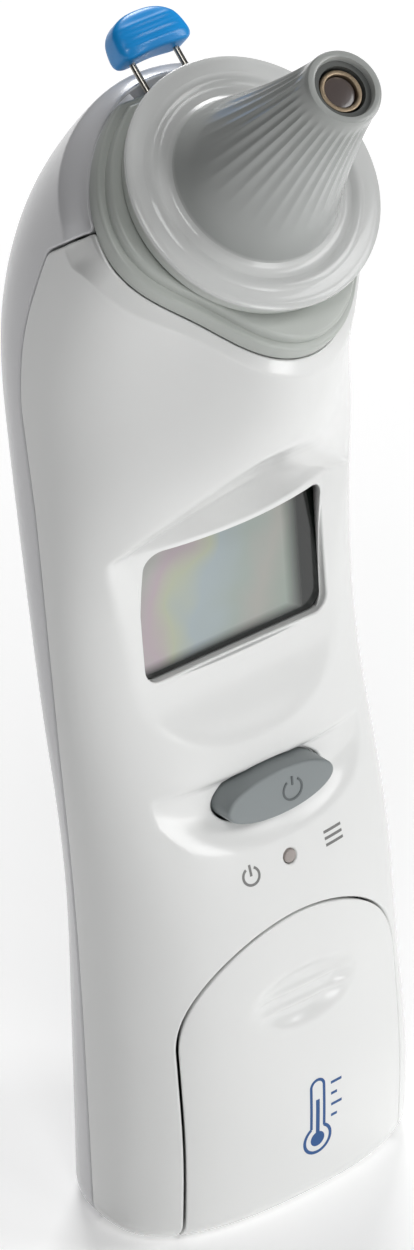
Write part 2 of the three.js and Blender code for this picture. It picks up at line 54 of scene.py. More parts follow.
# Sections of the case before the display is cut into it: front (y, z), back (y, z), half width, share of the
# depth from the front to the widest line, exponent of the superellipse, and how far the front is drawn in
# between its middle and its sides.
SECTIONS = (
    (-14.2, 0, 15.8, 0, 22.9, 0.40, 2.4, 0),
    (-16.2, 15, 15.3, 15, 22.6, 0.40, 2.4, 0),
    (-16.9, 30, 13.9, 30, 22.1, 0.45, 2.4, 0),
    (-16.9, 45, 12.4, 45, 21.9, 0.48, 2.4, 0),
    (-14.2, 58, 12.5, 58, 21.9, 0.45, 2.4, 0),
    (-11.2, 70, 13.5, 71, 22.0, 0.42, 2.4, 0),
    (-10.2, 82, 14.9, 84, 22.1, 0.38, 2.4, 0),
    (-12.8, 96.5, 16.9, 98.6, 22.0, 0.40, 2.4, 0.02),
    (-17.6, 106, 19.3, 112, 21.7, 0.45, 2.3, 0.05),
    (-21.8, 112.5, 19.4, 126, 21.5, 0.50, 2.2, 0.085),
    (-24.4, 117, 15.2, 139.4, 21.3, 0.50, 2.1, 0.12),
    (-26.2, 120.8, 9.8, 147.5, 21.1, 0.51, 2.0, 0.14),
    (-27.8, 125.8, 1.8, 155.5, 20.8, 0.52, 2.0, 0.155),
)

# The surface cut into the front for the display, as (y, z) down the middle.
DISPLAY_CUT = ((-19, 58), (-14.6, 64), (-11.3, 68.8), (-9.1, 73), (-7.9, 77.5), (-7.7, 82), (-7.7, 92),
               (-7.7, 97.4), (-8.2, 98.3), (-9.2, 99.4), (-22.9, 114.1), (-34, 121))

# The seam between the two shells, as (y, z) seen from the side. The front shell lies on the -Y side.
SEAM = ((1.2, -8), (1.2, 40), (1.2, 96), (3.6, 113), (4, 118), (2.6, 127), (-1.9, 137.3), (-2.8, 139),
        (-4.6, 140.1), (-12.3, 144.9), (-40, 162))

PROBE_CENTRE = (0, -17.8, 146.4)
PROBE_TILT = math.pi / 4
HEAD_FACE = -7.5
DISPLAY = {"z": 88, "half_width": 14.2, "half_height": 9.1, "corner": 2.2, "back": -5.9, "front": -6.75}
DOOR = {"half_width": 17.7, "shoulder": 29, "top": 44.8, "back": -9}
RECESS = {
    "z": 32.6, "half_width": 8.6, "half_height": 4.6, "depth": 1.1, "ridges": (0.9, -1.3), "ridge_width": 0.42,
    "ridge_height": 0.4,
}
BUTTON = {"z": 61, "half_width": 8.4, "half_height": 3.2, "front": -14.9, "lip": 1.2, "stem": 1.5}
SCOOP = {"z": 59.7, "half_width": 16.3, "half_height": 5.1, "depth": 1.3}
LENS = {"z": 52.1, "radius": 0.9, "back": -2.2, "front": -15.72}
FLANGE_RADIUS = 16.5
CONE = {"base": 11.1, "tip": 4.75, "length": 26.9, "power": 1.35, "wall": 0.5}
COLLAR = {
    "radius": 18.4, "chin": 20.3, "pinch": 0.14, "top_pinch": 0.03, "top": 16.3, "back": -7.2, "step": -5,
    "front": -3.4, "plateau_inset": 1.0, "bore": 10.9,
}
RING = {"radius": 15.8, "bore": 11.9, "back": -3.1, "front": -0.9}
WIRE = {"x": 3.3, "radius": 0.4, "z": -5.3, "low": 13.4, "high": 22.5}
CAP = {"half_width": 5.3, "low": 19.6, "high": 26, "back": -7.9, "front": -2.2}
TUBE = {"outer": 2.7, "inner": 2.1, "back": -6.9, "front": 25.7}

HEAD_ANNULUS = 4.2  # width of the flat end of the case under the collar
# The band of the case round the collar: how far from the collar it starts, how much it widens per millimetre
# back along the probe beside the seam and elsewhere, and how rounded its edge is before and behind the seam.
BEVEL = {"ledge": 0.1, "side": 0.62, "steep": 1.5, "crease": 0.25, "round": 2.5}

EDGE = 0.3  # radius of the rounded edge along each seam and opening

# ---- Fineness of the meshes, in millimetres between neighbouring points ----

FRONT_STEP = 0.45
REAR_STEP = {"around": 1.0, "along": 0.8}
DOOR_STEP = 0.32
HEAD_ROWS = 6.0  # length of the case next to the head's face that has rows three times as close


# ---- Materials ----

def add_node(tree, kind, **inputs):
    node = tree.nodes.new(kind)
    for name, value in inputs.items():
        node.inputs[name.replace("_", " ")].default_value = value
    return node


def start_material(name):
    made = bpy.data.materials.new(name)
    made.use_nodes = True
    tree = made.node_tree
    shader = tree.nodes["Principled BSDF"]
    place = tree.nodes.new("ShaderNodeTexCoord").outputs["Object"]
    return made, tree, shader, place


def noise(tree, place, scale, detail=3.0):
    node = add_node(tree, "ShaderNodeTexNoise", Scale=scale, Detail=detail)
    tree.links.new(place, node.inputs["Vector"])
    return node.outputs["Fac"]


def ramp(tree, factor, *stops):
    node = tree.nodes.new("ShaderNodeValToRGB")
    band = node.color_ramp
    while len(band.elements) < len(stops):
        band.elements.new(0.5)
    for element, (position, colour) in zip(band.elements, stops):
        element.position = position
        element.color = (*colour, 1)
    tree.links.new(factor, node.inputs["Fac"])
    return node.outputs["Color"]


def remap(tree, factor, low, high):
    node = tree.nodes.new("ShaderNodeMapRange")
    node.inputs["To Min"].default_value = low
    node.inputs["To Max"].default_value = high
    tree.links.new(factor, node.inputs["Value"])
    return node.outputs["Result"]


def bump(tree, shader, height, strength, distance):
    node = add_node(tree, "ShaderNodeBump", Strength=strength, Distance=distance)
    tree.links.new(height, node.inputs["Height"])
    tree.links.new(node.outputs["Normal"], shader.inputs["Normal"])


def shade(colour, factor):
    return tuple(min(1.0, channel * factor) for channel in colour)


def moulded(name, colour, roughness, grain=0.08, variation=0.03, coat=0.0, transmission=0.0):
    """Moulded plastic: a slow drift of colour, a fine grain, and a roughness that varies."""
    made, tree, shader, place = start_material(name)
    slow = noise(tree, place, 35.0, 2.0)
    fine = noise(tree, place, 2200.0, 2.0)
    tint = ramp(tree, slow, (0.3, shade(colour, 1 - variation)), (0.7, shade(colour, 1 + variation)))
    tree.links.new(tint, shader.inputs["Base Color"])
    worn = remap(tree, noise(tree, place, 160.0), roughness * 0.88, roughness * 1.12)
    tree.links.new(worn, shader.inputs["Roughness"])
    bump(tree, shader, fine, grain, 0.00003)
    shader.inputs["Coat Weight"].default_value = coat
    shader.inputs["Coat Roughness"].default_value = 0.06
    shader.inputs["Transmission Weight"].default_value = transmission
    return made


def brushed(name, colour, roughness):
    """Metal with fine lines across its length."""
    made, tree, shader, place = start_material(name)
    stretch = tree.nodes.new("ShaderNodeMapping")
    stretch.inputs["Scale"].default_value = (1.0, 1.0, 14.0)
    tree.links.new(place, stretch.inputs["Vector"])
    lines = noise(tree, stretch.outputs["Vector"], 900.0, 4.0)
    tint = ramp(tree, lines, (0.3, shade(colour, 0.82)), (0.7, shade(colour, 1.1)))
    tree.links.new(tint, shader.inputs["Base Color"])
    tree.links.new(remap(tree, lines, roughness * 0.7, roughness * 1.4), shader.inputs["Roughness"])
    bump(tree, shader, lines, 0.15, 0.00003)
    shader.inputs["Metallic"].default_value = 1.0
    return made


def between(tree, value, low, high):
    """A share that goes from 0 where value is low to 1 where it is high. Both are in millimetres."""
    node = tree.nodes.new("ShaderNodeMapRange")
    node.inputs["From Min"].default_value = low * MM
    node.inputs["From Max"].default_value = high * MM
    tree.links.new(value, node.inputs["Value"])
    return node.outputs["Result"]


def combine(tree, operation, first, second):
    node = tree.nodes.new("ShaderNodeMath")
    node.operation = operation
    tree.links.new(first, node.inputs[0])
    tree.links.new(second, node.inputs[1])
    return node.outputs["Value"]


def display_colours(tree, place):
    """Faint bands of colour that lean to the right and wander a little."""
    leaning = 0.35
    lean = tree.nodes.new("ShaderNodeVectorMath")
    lean.operation = "DOT_PRODUCT"
    lean.inputs[1].default_value = (1.0, 0.0, -leaning)
    tree.links.new(place, lean.inputs[0])
    wander = remap(tree, noise(tree, place, 90.0, 2.0), -7 * MM, 7 * MM)
    moved = combine(tree, "ADD", lean.outputs["Value"], wander)
    middle = -leaning * DISPLAY["z"]
    across = between(tree, moved, middle - DISPLAY["half_width"], middle + DISPLAY["half_width"])
    return ramp(tree, across, (0.0, (0.40, 0.40, 0.38)), (0.14, (0.44, 0.37, 0.40)),
                (0.25, (0.42, 0.45, 0.34)), (0.36, (0.35, 0.41, 0.43)), (0.55, (0.33, 0.38, 0.35)),
                (0.68, (0.37, 0.37, 0.34)), (0.82, (0.30, 0.35, 0.31)), (1.0, (0.28, 0.29, 0.28)))


def display_material():
    """The display under its clear window: grey green with faint colours, and a painted shadow of the window's
    recess wall that darkens it at the right and below.
    """
    made, tree, shader, place = start_material("display_glass")
    split = tree.nodes.new("ShaderNodeSeparateXYZ")
    tree.links.new(place, split.inputs["Vector"])
    right_edge, low_edge = DISPLAY["half_width"], DISPLAY["z"] - DISPLAY["half_height"]
    # Painted shadow: masks towards the right and lower edges, where the window's recess wall shades the
    # display.
    right = between(tree, split.outputs["X"], right_edge - 5.4, right_edge - 2.8)
    low = between(tree, split.outputs["Z"], low_edge + 2.4, low_edge + 0.8)
    wall_shadow_mix = tree.nodes.new("ShaderNodeMix")
    wall_shadow_mix.data_type = "RGBA"
    tree.links.new(combine(tree, "MAXIMUM", right, low), wall_shadow_mix.inputs["Factor"])
    tree.links.new(display_colours(tree, place), wall_shadow_mix.inputs[6])
    # Colour of the painted shadow of the recess wall.
    wall_shadow_mix.inputs[7].default_value = (0.002, 0.004, 0.003, 1)
    tree.links.new(wall_shadow_mix.outputs[2], shader.inputs["Base Color"])
    tree.links.new(remap(tree, noise(tree, place, 300.0), 0.16, 0.24), shader.inputs["Roughness"])
    shader.inputs["Coat Weight"].default_value = 0.6
    shader.inputs["Coat Roughness"].default_value = 0.04
    return made


def film_material():
    """The probe cover's thin film: pale where it stands free, greyer where the nozzle shows through it, and
    darker at the cone's foot as painted shade.
    """
    made, tree, shader, place = start_material("cover_film")
    turned_place = tree.nodes.new("ShaderNodeVectorRotate")
    turned_place.rotation_type = "X_AXIS"
    turned_place.inputs["Center"].default_value = [value * MM for value in PROBE_CENTRE]
    turned_place.inputs["Angle"].default_value = -PROBE_TILT
    tree.links.new(place, turned_place.inputs["Vector"])
    split = tree.nodes.new("ShaderNodeSeparateXYZ")
    tree.links.new(turned_place.outputs["Vector"], split.inputs["Vector"])
    along = between(tree, split.outputs["Z"], PROBE_CENTRE[2], PROBE_CENTRE[2] + CONE["length"])
    # The darker stop just above the flange is painted shade at the cone's foot; the grey above it is the
    # nozzle showing through.
    tint = ramp(tree, along, (0.02, (0.74, 0.75, 0.74)), (0.05, (0.43, 0.445, 0.435)),
                (0.6, (0.5, 0.515, 0.505)), (0.92, (0.44, 0.455, 0.44)))
    tree.links.new(tint, shader.inputs["Base Color"])
    tree.links.new(remap(tree, noise(tree, place, 160.0), 0.19, 0.25), shader.inputs["Roughness"])
    bump(tree, shader, noise(tree, place, 2200.0, 2.0), 0.06, 0.00003)
    shader.inputs["Transmission Weight"].default_value = 0.12
    shader.inputs["IOR"].default_value = 1.35
    shader.inputs["Coat Weight"].default_value = 0.3
    shader.inputs["Coat Roughness"].default_value = 0.06
    return made


def board_material(name):
    """Solder mask over a faint pattern of tracks."""
    made, tree, shader, place = start_material(name)
    tracks = add_node(tree, "ShaderNodeTexBrick", Scale=260.0)
    tree.links.new(place, tracks.inputs["Vector"])
    tracks.inputs["Color1"].default_value = (0.015, 0.11, 0.045, 1)
    tracks.inputs["Color2"].default_value = (0.018, 0.13, 0.05, 1)
    tracks.inputs["Mortar"].default_value = (0.03, 0.2, 0.08, 1)
    tree.links.new(tracks.outputs["Color"], shader.inputs["Base Color"])
    tree.links.new(remap(tree, noise(tree, place, 500.0), 0.3, 0.45), shader.inputs["Roughness"])
    bump(tree, shader, tracks.outputs["Fac"], 0.2, 0.00005)
    return made


PLAIN_LOOKS = {
    "case_white": dict(colour=(0.82, 0.825, 0.815), roughness=0.2, grain=0.03, variation=0.012, coat=0.25),
    "case_cool_white": dict(colour=(0.66, 0.66, 0.675), roughness=0.24, grain=0.03, variation=0.012, coat=0.2),
    "button_grey": dict(colour=(0.245, 0.27, 0.275), roughness=0.42, grain=0.2),
    "collar_grey": dict(colour=(0.5, 0.525, 0.495), roughness=0.32, grain=0.15),
    "ejector_blue": dict(colour=(0.012, 0.34, 0.86), roughness=0.34, grain=0.1, variation=0.05, coat=0.15),
    "lens_grey": dict(colour=(0.37, 0.33, 0.31), roughness=0.3),
    "black_plastic": dict(colour=(0.02, 0.021, 0.022), roughness=0.45, grain=0.2),
    "black_rubber": dict(colour=(0.03, 0.03, 0.03), roughness=0.7, grain=0.3),
    "infrared_window": dict(colour=(0.11, 0.09, 0.085), roughness=0.2, coat=0.5),
    "clear_window": dict(colour=(0.6, 0.62, 0.62), roughness=0.1, transmission=0.6),
    "flex_amber": dict(colour=(0.45, 0.2, 0.04), roughness=0.35),
}
MATERIAL_OF_SLOT = {slot: moulded(slot, **look) for slot, look in PLAIN_LOOKS.items()}
MATERIAL_OF_SLOT["cover_film"] = film_material()
MATERIAL_OF_SLOT["display_glass"] = display_material()
MATERIAL_OF_SLOT["board_green"] = board_material("board_green")
MATERIAL_OF_SLOT["steel"] = brushed("steel", (0.42, 0.4, 0.36), 0.28)
MATERIAL_OF_SLOT["gilt"] = brushed("gilt", (0.42, 0.33, 0.23), 0.38)
BUTTON_MARK = moulded("button_mark", (0.11, 0.125, 0.13), 0.5, grain=0.2)
PRINT_GREY = moulded("print_grey", (0.2, 0.2, 0.195), 0.4, grain=0.1)
PRINT_BLUE = moulded("print_blue", (0.004, 0.075, 0.26), 0.35, grain=0.1)
# The nozzle's grey is made darker as painted shade, so the opening at the cover's tip looks shadowed.
NOZZLE_GREY_PAINTED_SHADE = moulded("nozzle_grey_painted_shade", (0.1, 0.105, 0.1), 0.45, grain=0.15)


# ---- Making pieces ----

def make(name, points, faces, slot, body, replaced=(), normals=None, material=None):
    """A finished piece from points in millimetres, smooth except at corners unless it brings its normals."""
    mesh = bpy.data.meshes.new(name)
    mesh.from_pydata((np.asarray(points, float) * MM).tolist(), [], faces)
    mesh.validate()
    mesh.polygons.foreach_set("use_smooth", [True] * len(mesh.polygons))
    if normals is None:
        mesh.set_sharp_from_angle(angle=math.radians(38))
    else:
        mesh.normals_split_custom_set_from_vertices(np.asarray(normals, float).tolist())
    mesh.materials.append(material or MATERIAL_OF_SLOT[slot])
    piece = bpy.data.objects.new(name, mesh)
    bpy.context.scene.collection.objects.link(piece)
    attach(piece, body)
    if replaced:
        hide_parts(*replaced)
    return piece


def from_probe(points):
    """Points of the probe's own frame, Z along its axis and Y up and back, in the object's frame."""
    turn = np.array(Matrix.Rotation(PROBE_TILT, 3, "X"))
    return np.asarray(points, float) @ turn.T + np.array(PROBE_CENTRE)


def to_probe(points):
    turn = np.array(Matrix.Rotation(PROBE_TILT, 3, "X"))
    return (points - np.array(PROBE_CENTRE)) @ turn


def upright(points):
    """Points drawn as (x, z, forward), in the object's frame."""
    points = np.asarray(points, float)
    return np.stack([points[:, 0], -points[:, 2], points[:, 1]], axis=1)


def rounded(points, radius, steps=5):
    """A closed outline with each corner replaced by an arc that touches its two sides."""
    points = [np.array(point, float) for point in points]
    result = []
    for i, corner in enumerate(points):
        before = points[i - 1] - corner
        after = points[(i + 1) % len(points)] - corner
        lengths = np.linalg.norm(before), np.linalg.norm(after)
        before, after = before / lengths[0], after / lengths[1]
        half = math.acos(max(-1.0, min(1.0, float(before @ after)))) / 2
        if half > math.radians(86):
            result.append(corner)
            continue
        reach = min(radius / math.tan(half), lengths[0] * 0.48, lengths[1] * 0.48)
        size = reach * math.tan(half)
        centre = corner + (before + after) / np.linalg.norm(before + after) * math.hypot(size, reach)
        start, end = corner + before * reach - centre, corner + after * reach - centre
        sweep = math.pi - 2 * half
        for k in range(steps + 1):
            share = k / steps
            weight_start = math.sin((1 - share) * sweep) / math.sin(sweep)
            weight_end = math.sin(share * sweep) / math.sin(sweep)
            result.append(centre + weight_start * start + weight_end * end)
    return np.array(result)


def bands(rings, count, closed=False):
    """Faces between neighbouring rings of count points each, and from the last to the first when closed."""
    faces = []
    for r in range(rings if closed else rings - 1):
        here, there = r * count, (r + 1) % rings * count
        for k in range(count):
            n = (k + 1) % count
            faces.append((here + k, here + n, there + n, there + k))
    return faces


def turned(profile, sides=96, change=None):
    """A closed (radius, z) profile turned about Z. change may move the points, given (angle, radius, z)."""
    profile = np.asarray(profile, float)
    angles = np.arange(sides) * 2 * math.pi / sides
    radius = np.repeat(profile[None, :, 0], sides, axis=0)
    height = np.repeat(profile[None, :, 1], sides, axis=0)
    around = np.repeat(angles[:, None], len(profile), axis=1)
    if change:
        radius = change(around, radius, height)
    points = np.stack([radius * np.cos(around), radius * np.sin(around), height], axis=-1).reshape(-1, 3)
    return points, [face[::-1] for face in bands(sides, len(profile), closed=True)]


def inward_normals(outline):
    ahead = np.roll(outline, -1, axis=0) - np.roll(outline, 1, axis=0)
    ahead /= np.linalg.norm(ahead, axis=1)[:, None]
    return np.stack([-ahead[:, 1], ahead[:, 0]], axis=1)


def rounded_edge(edge, steps):
    """Steps inwards and along the height on a rounded edge, from its end to its side."""
    turns = [math.pi / 2 * k / steps for k in range(steps + 1)] if edge else [math.pi / 2]
    return [(edge * (1 - math.sin(turn)), edge * (1 - math.cos(turn))) for turn in turns]


def plate(outline, low, high, edge_low=0.0, edge_high=0.0, steps=4, crown=0.0):
    """A closed plate from an anticlockwise outline, with rounded edges at both ends and a crowned top."""
    outline = np.asarray(outline, float)
    inward = inward_normals(outline)
    rings = [(shift, low + rise) for shift, rise in rounded_edge(edge_low, steps)]
    rings += [(shift, high - drop) for shift, drop in reversed(rounded_edge(edge_high, steps))]
    points = [np.column_stack([outline + inward * shift, np.full(len(outline), height)])
              for shift, height in rings]
    top = points[-1]
    middle = top.mean(axis=0)
    for share in (0.75, 0.5, 0.25):
        ring = middle + (top - middle) * share
        ring[:, 2] = high + crown * (1 - share * share)
        points.append(ring)
    count = len(outline)
    ends = [tuple(range(count))[::-1], tuple((len(points) - 1) * count + k for k in range(count))]
    return np.concatenate(points), bands(len(points), count) + ends


def joined(*parts):
    """Several (points, faces) as one."""
    points, faces, start = [], [], 0
    for part_points, part_faces in parts:
        points.append(np.asarray(part_points, float))
        faces.extend(tuple(i + start for i in face) for face in part_faces)
        start += len(part_points)
    return np.concatenate(points), faces


def rod(path, radius, sides=20):
    """A round rod along a path of points, with slightly rounded ends."""
    path = np.asarray(path, float)
    ahead = np.gradient(path, axis=0)
    ahead /= np.linalg.norm(ahead, axis=1)[:, None]
    side = np.cross(ahead, (1.0, 0.0, 0.0))
    side /= np.linalg.norm(side, axis=1)[:, None]
    other = np.cross(ahead, side)
    last = len(path) - 1
    end_slide, end_size = radius * 0.4, 0.6
    middle = [(i, 0.0, 1.0) for i in range(len(path))]
    stations = [(0, -end_slide, end_size), *middle, (last, end_slide, end_size)]
    points = []
    for i, slide, size in stations:
        for k in range(sides):
            angle = 2 * math.pi * k / sides
            points.append(path[i] + ahead[i] * slide
                          + radius * size * (math.cos(angle) * side[i] + math.sin(angle) * other[i]))
    ends = [tuple(range(sides))[::-1], tuple((len(stations) - 1) * sides + k for k in range(sides))]
    return np.array(points), [face[::-1] for face in bands(len(stations), sides) + ends]


def rounded_rectangle(half_width, half_height, corner, z=0.0, steps=8):
    corners = [(-half_width, z - half_height), (half_width, z - half_height),
               (half_width, z + half_height), (-half_width, z + half_height)]
    return rounded(corners, corner, steps)


def oval(half_width, half_height, z=0.0, sides=72):
    angles = np.arange(sides) * 2 * math.pi / sides
    return np.column_stack([half_width * np.cos(angles), z + half_height * np.sin(angles)])


# ---- The case as one smooth surface ----

def smooth_curve(knots, values, at):
    """Natural cubic spline through values at knots."""
    knots, values, at = (np.asarray(item, float) for item in (knots, values, at))
    step = np.diff(knots)
    rise = np.diff(values) / step
    count = len(knots)
    system = np.eye(count)
    right = np.zeros(count)
    for i in range(1, count - 1):
        system[i, i - 1:i + 2] = step[i - 1], 2 * (step[i - 1] + step[i]), step[i]
        right[i] = 6 * (rise[i] - rise[i - 1])
    bend = np.linalg.solve(system, right)
    i = np.clip(np.searchsorted(knots, at) - 1, 0, count - 2)
    ahead, behind, width = knots[i + 1] - at, at - knots[i], step[i]
    return ((bend[i] * ahead ** 3 + bend[i + 1] * behind ** 3) / (6 * width)
            + (values[i] / width - bend[i] * width / 6) * ahead
            + (values[i + 1] / width - bend[i + 1] * width / 6) * behind)


SECTION_TABLE = np.array(SECTIONS, float)
FRONT_RUN = np.linalg.norm(np.diff(SECTION_TABLE[:, 0:2], axis=0), axis=1)
BACK_RUN = np.linalg.norm(np.diff(SECTION_TABLE[:, 2:4], axis=0), axis=1)
KNOTS = np.concatenate([[0], np.cumsum((FRONT_RUN + BACK_RUN) / 2)])


def case_points(run, angle, inset):
    """Points of the case at a length from the base, at an angle round the section, moved inwards by inset."""
    front_y, front_z, back_y, back_z, half_width, widest, power, pinch = (
        smooth_curve(KNOTS, SECTION_TABLE[:, k], run) for k in range(8))
    across_y, across_z = back_y - front_y, back_z - front_z
    depth = np.hypot(across_y, across_z)
    sine, cosine = np.sin(angle), np.cos(angle)
    reach = np.where(sine < 0, widest * depth, (1 - widest) * depth) - inset
    radius = (np.abs(cosine / (half_width - inset)) ** power + np.abs(sine / reach) ** power) ** (-1 / power)
    radius = radius * (1 - np.where(sine < 0, pinch, 0) * np.sin(2 * angle) ** 2)
    share = widest + radius * sine / depth
    return np.stack([radius * cosine, front_y + across_y * share, front_z + across_z * share], axis=-1)


def even_angles(start, stop, step, reach):
    """Angles whose points lie about a step apart on a section of the given depth."""
    fine = np.linspace(start, stop, 2000)
    radius = (np.abs(np.cos(fine) / 22) ** 2.4 + np.abs(np.sin(fine) / reach) ** 2.4) ** (-1 / 2.4)
    x, y = radius * np.cos(fine), radius * np.sin(fine)
    run = np.concatenate([[0], np.cumsum(np.hypot(np.diff(x), np.diff(y)))])
    return np.interp(np.linspace(0, run[-1], int(run[-1] / step)), run, fine)


def case_grid(angles, step, bottom_y, top=None):
    """Points of the case in rows: the flat base, its rounded edge, and the walls up to top or to the probe."""
    turns = np.linspace(0, math.pi / 2, 8)[:-1]
    shares = np.linspace(0, 1, int(12 / step))[1:-1]
    last = top or KNOTS[-1]
    crowded = max(BASE_ROUND, last - HEAD_ROWS) if top is None else last
    walls = np.concatenate([np.arange(BASE_ROUND, crowded, step), np.arange(crowded, last, step / 3), [last]])
    run = np.concatenate([np.zeros(len(shares)), BASE_ROUND * (1 - np.cos(turns)), walls])
    inset = np.concatenate([np.full(len(shares), BASE_ROUND), BASE_ROUND * (1 - np.sin(turns)), walls * 0])
    scale = np.concatenate([shares, np.ones(len(turns) + len(walls))])
    points = case_points(run[:, None], angles[None, :], inset[:, None])
    middle = np.array([0.0, bottom_y, 0.0])
    return middle + (points - middle) * scale[:, None, None]


def grid_normals(points):
    normals = np.cross(np.gradient(points, axis=1), np.gradient(points, axis=0))
    return normals / np.maximum(np.linalg.norm(normals, axis=-1, keepdims=True), 1e-9)


def smooth_max(a, b, size):
    share = np.clip(0.5 + 0.5 * (a - b) / size, 0, 1)
    return b + (a - b) * share + size * share * (1 - share)


def smooth_min(a, b, size):
    return -smooth_max(-a, -b, size)


def eased(share):
    """A share from 0 to 1 with a soft start and end."""
    return share * share * (3 - 2 * share)


def bell(distance, width):
    return np.exp(-(distance / width) ** 2)


def display_cut(x, z):
    """y of the surface cut into the front for the display, slightly hollow across."""
    line = chaikin(DISPLAY_CUT)
    y = np.interp(z, line[:, 1], line[:, 0])
    return y - 0.25 * (x / 17) ** 2


def scoop(x, z):
    """How far the hollow round the button goes in: a crisp upper line and a soft lower one."""
    across = np.clip(1 - (x / SCOOP["half_width"]) ** 2, 0, 1)
    height = (z - SCOOP["z"]) / SCOOP["half_height"]
    upper = np.clip((1.0 - height) / 0.25, 0, 1)
    lower = np.clip((height + across ** 0.5) / 0.9, 0, 1)
    return SCOOP["depth"] * across ** 0.6 * eased(upper) * eased(lower)


def finger_recess(x, z):
    """The hollow in the door for a finger, with two low ridges across it."""
    place = np.sqrt((x / RECESS["half_width"]) ** 2 + ((z - RECESS["z"]) / RECESS["half_height"]) ** 2)
    inside = eased(np.clip((1.05 - place) / 0.55, 0, 1))
    ridges = sum(bell(z - RECESS["z"] - rise, RECESS["ridge_width"]) for rise in RECESS["ridges"])
    return inside * (RECESS["depth"] - RECESS["ridge_height"] * ridges)


def collar_radius(angle):
    """The collar's outline round the probe axis: drawn in at both sides of the chin."""
    sine = np.sin(angle)
    long = np.where(sine < 0, COLLAR["chin"], COLLAR["radius"])
    plain = 1 / np.sqrt((np.cos(angle) / COLLAR["radius"]) ** 2 + (sine / long) ** 2)
    return plain * (1 - np.where(sine < 0, COLLAR["pinch"], COLLAR["top_pinch"]) * np.sin(2 * angle) ** 2)


def carve(points):
    """The case with the display cut, the scoop and the finger recess taken out of its front, and the
    edge of the head bevelled towards the probe."""
    x, y, z = points[..., 0], points[..., 1], points[..., 2]
    front = y < 2
    behind_seam = np.clip(-ahead_of_seam(points) / 4.0, 0, 1)
    cut = smooth_max(y, display_cut(x, np.clip(z, 58, 124.3)), 0.45)
    y = np.where(front & (z > 62) & (z < 119), cut, y)
    y = y + np.where(front, scoop(x, z) + finger_recess(x, z), 0)
    carved = np.stack([x, y, z], axis=-1)
    local = to_probe(carved)
    radius = np.hypot(local[..., 0], local[..., 1])
    around = np.arctan2(local[..., 1], local[..., 0])
    from_seam = np.clip((np.abs(np.sin(around) - 0.13) - 0.03) / 0.25, 0, 1)
    slope = BEVEL["side"] + (BEVEL["steep"] - BEVEL["side"]) * eased(from_seam)
    limit = collar_radius(around) + BEVEL["ledge"] + slope * (HEAD_FACE - local[..., 2])
    soft = BEVEL["crease"] + (BEVEL["round"] - BEVEL["crease"]) * behind_seam
    pulled = np.where(local[..., 2] > -18, smooth_min(radius, limit, soft), radius)
    factor = pulled / np.maximum(radius, 1e-6)
    local[..., 0:2] *= factor[..., None]
    return from_probe(local.reshape(-1, 3)).reshape(points.shape)


# ---- Trimming the case into its pieces ----

def chaikin(line, times=3):
    """An open line with its corners cut."""
    line = np.asarray(line, float)
    for _ in range(times):
        quarter = line[:-1] * 0.75 + line[1:] * 0.25
        three = line[:-1] * 0.25 + line[1:] * 0.75
        middle = np.stack([quarter, three], axis=1).reshape(-1, 2)
        line = np.concatenate([line[:1], middle[1:-1], line[-1:]])
    return line


SEAM_LINE = chaikin(SEAM)


def ahead_of_seam(points):
    """Distance from the seam, positive in front of it."""
    y, z = points[..., 1], points[..., 2]
    best = np.full(y.shape, np.inf)
    signed = np.zeros(y.shape)
    for (y0, z0), (y1, z1) in zip(SEAM_LINE[:-1], SEAM_LINE[1:]):
        run_y, run_z = y1 - y0, z1 - z0
        length = math.hypot(run_y, run_z)
        share = np.clip(((y - y0) * run_y + (z - z0) * run_z) / length ** 2, 0, 1)
        off = np.hypot(y - y0 - share * run_y, z - z0 - share * run_z)
        side = ((z - z0) * run_y - (y - y0) * run_z) / length
        closer = off < best
        best = np.where(closer, off, best)
        signed = np.where(closer, np.where(side > 0, off, -off), signed)
    return signed


def before_head_face(points):
    return HEAD_FACE - to_probe(points)[..., 2]


def inside_door(points):
    """Positive inside the battery door's outline and in front of its rear edge on the base."""
    x, y, z = points[..., 0], points[..., 1], points[..., 2]
    width, rise = DOOR["half_width"], DOOR["top"] - DOOR["shoulder"]
    above = np.maximum(z - DOOR["shoulder"], 0)
    outline = width * (1 - np.sqrt((x / width) ** 2 + (above / rise) ** 2))
    return smooth_min(outline, DOOR["back"] - y, 0.8)


def inside_oval(points, half_width, half_height, z):
    size = np.sqrt((points[..., 0] / half_width) ** 2 + ((points[..., 2] - z) / half_height) ** 2)
    return np.where(points[..., 1] < 0, half_height * (1 - size), -9.0)


def inside_display(points):
    x = np.abs(points[..., 0]) - DISPLAY["half_width"] + DISPLAY["corner"]
    z = np.abs(points[..., 2] - DISPLAY["z"]) - DISPLAY["half_height"] + DISPLAY["corner"]
    outside = np.hypot(np.maximum(x, 0), np.maximum(z, 0)) + np.minimum(np.maximum(x, z), 0)
    return np.where(points[..., 1] < 0, DISPLAY["corner"] - outside, -9.0)


def front_shell_room(points):
    room = smooth_min(ahead_of_seam(points), before_head_face(points), 0.5)
    room = smooth_min(room, -inside_door(points), 0.3)
    room = np.minimum(room, -inside_display(points))
    button = inside_oval(points, BUTTON["half_width"] + GAP, BUTTON["half_height"] + GAP, BUTTON["z"])
    lens = inside_oval(points, LENS["radius"] + 0.1, LENS["radius"] + 0.1, LENS["z"])
    return np.minimum(np.minimum(room, -button), -lens)


def rear_shell_room(points):
    return smooth_min(-ahead_of_seam(points) - GAP, before_head_face(points), 0.5)


def door_room(points):
    return inside_door(points) - GAP


def room_slope(room, points, normals):
    """Room at each point as a distance along the surface, and the way out of the piece along the surface."""
    tiny = 0.02
    value = room(points)
    slope = np.stack([(room(points + tiny * axis) - room(points - tiny * axis)) / (2 * tiny)
                      for axis in np.eye(3)], axis=-1)
    slope -= (slope * normals).sum(axis=-1, keepdims=True) * normals
    steep = np.maximum(np.linalg.norm(slope, axis=-1), 0.2)
    return value / steep, -slope / steep[..., None]


